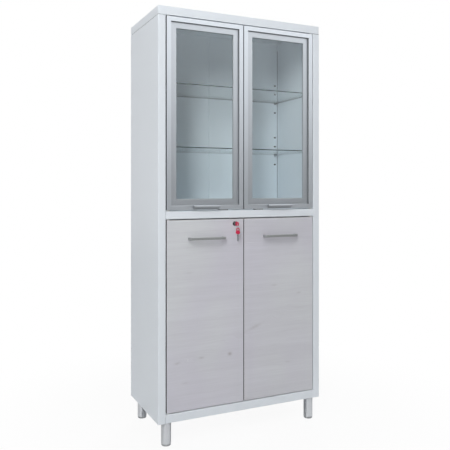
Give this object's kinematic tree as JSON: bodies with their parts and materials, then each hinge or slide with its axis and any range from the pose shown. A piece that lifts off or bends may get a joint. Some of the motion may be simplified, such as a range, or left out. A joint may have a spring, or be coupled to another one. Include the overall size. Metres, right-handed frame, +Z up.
{
  "type": "glass door medical cabinet",
  "caption": "Tall white steel clinic cabinet on round legs, with glazed aluminium-framed doors over lockable laminate doors, glass shelves above and a steel shelf below.",
  "frame": {"origin": "on the floor, under the middle of the whole outline with the keys that stand out in front", "axes": "+X to the right seen from the front, +Y from the front to the back, +Z up"},
  "size_m": [0.8, 0.4427, 1.85],
  "materials": {
    "white_steel": "fine-textured white powder coat",
    "aluminium": "satin anodised",
    "glass": "clear float glass with a green edge",
    "laminate": "pale grey wood-grain laminate, matt",
    "satin_nickel": "satin nickel plate",
    "chrome": "polished chrome plate",
    "white_plastic": "moulded nylon",
    "dark_plastic": "moulded, matt",
    "grey_plastic": "moulded, matt",
    "red_plastic": "moulded key bow, glossy"
  },
  "bodies": {
    "carcass": {"side_panel_left": "white_steel", "side_panel_right": "white_steel", "back_panel_left": "white_steel", "back_panel_right": "white_steel", "top_cap": "white_steel", "divider": "white_steel", "bottom_tray": "white_steel", "steel_shelf": "white_steel", "leg_front_left": "chrome", "leg_front_right": "chrome", "leg_rear_left": "chrome", "leg_rear_right": "chrome", "hinge_pin_upper_left_top": "white_plastic", "hinge_pin_upper_left_bottom": "white_plastic", "hinge_pin_lower_left_top": "white_plastic", "hinge_pin_lower_left_bottom": "white_plastic", "hinge_pin_upper_right_top": "white_plastic", "hinge_pin_upper_right_bottom": "white_plastic", "hinge_pin_lower_right_top": "white_plastic", "hinge_pin_lower_right_bottom": "white_plastic", "magnetic_catch_upper_left": "dark_plastic", "magnetic_catch_upper_right": "dark_plastic", "magnetic_catch_lower_left": "dark_plastic", "magnetic_catch_lower_right": "dark_plastic", "glass_shelf_lower": "glass", "glass_shelf_upper": "glass", "shelf_peg_lower_front_left": "satin_nickel", "shelf_peg_lower_rear_left": "satin_nickel", "shelf_peg_lower_front_right": "satin_nickel", "shelf_peg_lower_rear_right": "satin_nickel", "shelf_peg_upper_front_left": "satin_nickel", "shelf_peg_upper_rear_left": "satin_nickel", "shelf_peg_upper_front_right": "satin_nickel", "shelf_peg_upper_rear_right": "satin_nickel"},
    "upper_left_door": {"frame_stile_left_door_left": "aluminium", "frame_stile_left_door_right": "aluminium", "frame_rail_left_door_top": "aluminium", "frame_rail_left_door_bottom": "aluminium", "glass_pane_left": "glass", "edge_pull_left": "aluminium"},
    "upper_right_door": {"frame_stile_right_door_left": "aluminium", "frame_stile_right_door_right": "aluminium", "frame_rail_right_door_top": "aluminium", "frame_rail_right_door_bottom": "aluminium", "glass_pane_right": "glass", "edge_pull_right": "aluminium"},
    "lower_left_door": {"laminate_door_left": "laminate", "bar_handle_left": "satin_nickel", "lock_barrel": "chrome"},
    "lower_right_door": {"laminate_door_right": "laminate", "bar_handle_right": "satin_nickel"},
    "lock": {"lock_plug": "chrome", "lock_cam": "chrome", "key": "red_plastic"},
    "key_ring": {"key_ring": "chrome"},
    "spare_key": {"spare_key": "red_plastic"},
    "foot_front_left": {"levelling_foot_front_left": "grey_plastic"},
    "foot_front_right": {"levelling_foot_front_right": "grey_plastic"},
    "foot_rear_left": {"levelling_foot_rear_left": "grey_plastic"},
    "foot_rear_right": {"levelling_foot_rear_right": "grey_plastic"}
  },
  "joints": [
    {"name": "upper_left_door_swing", "type": "hinge", "parent": "carcass", "child": "upper_left_door", "pos_m": [-0.354, -0.17013, 1.4], "axis": [0, 0, -1], "range_deg": [0, 100]},
    {"name": "upper_right_door_swing", "type": "hinge", "parent": "carcass", "child": "upper_right_door", "pos_m": [0.354, -0.17013, 1.4], "axis": [0, 0, 1], "range_deg": [0, 100]},
    {"name": "lower_left_door_swing", "type": "hinge", "parent": "carcass", "child": "lower_left_door", "pos_m": [-0.354, -0.17013, 0.546], "axis": [0, 0, -1], "range_deg": [0, 100]},
    {"name": "lower_right_door_swing", "type": "hinge", "parent": "carcass", "child": "lower_right_door", "pos_m": [0.354, -0.17013, 0.546], "axis": [0, 0, 1], "range_deg": [0, 100]},
    {"name": "lock_turn", "type": "hinge", "parent": "lower_left_door", "child": "lock", "pos_m": [-0.0455, -0.17813, 0.93], "axis": [0, 1, 0], "range_deg": [0, 90]},
    {"name": "key_ring_swing", "type": "hinge", "parent": "lock", "child": "key_ring", "pos_m": [-0.0455, -0.21113, 0.9269], "axis": [0.8192, 0.5736, 0], "range_deg": [-12, 12]},
    {"name": "spare_key_swing", "type": "hinge", "parent": "key_ring", "child": "spare_key", "pos_m": [-0.0455, -0.21113, 0.9089], "axis": [0.8192, 0.5736, 0], "range_deg": [-20, 20]},
    {"name": "foot_front_left_turn", "type": "hinge", "parent": "carcass", "child": "foot_front_left", "pos_m": [-0.3555, -0.15113, 0], "axis": [0, 0, 1], "continuous": true},
    {"name": "foot_front_right_turn", "type": "hinge", "parent": "carcass", "child": "foot_front_right", "pos_m": [0.3555, -0.15113, 0], "axis": [0, 0, 1], "continuous": true},
    {"name": "foot_rear_left_turn", "type": "hinge", "parent": "carcass", "child": "foot_rear_left", "pos_m": [-0.3555, 0.18487, 0], "axis": [0, 0, 1], "continuous": true},
    {"name": "foot_rear_right_turn", "type": "hinge", "parent": "carcass", "child": "foot_rear_right", "pos_m": [0.3555, 0.18487, 0], "axis": [0, 0, 1], "continuous": true}
  ]
}
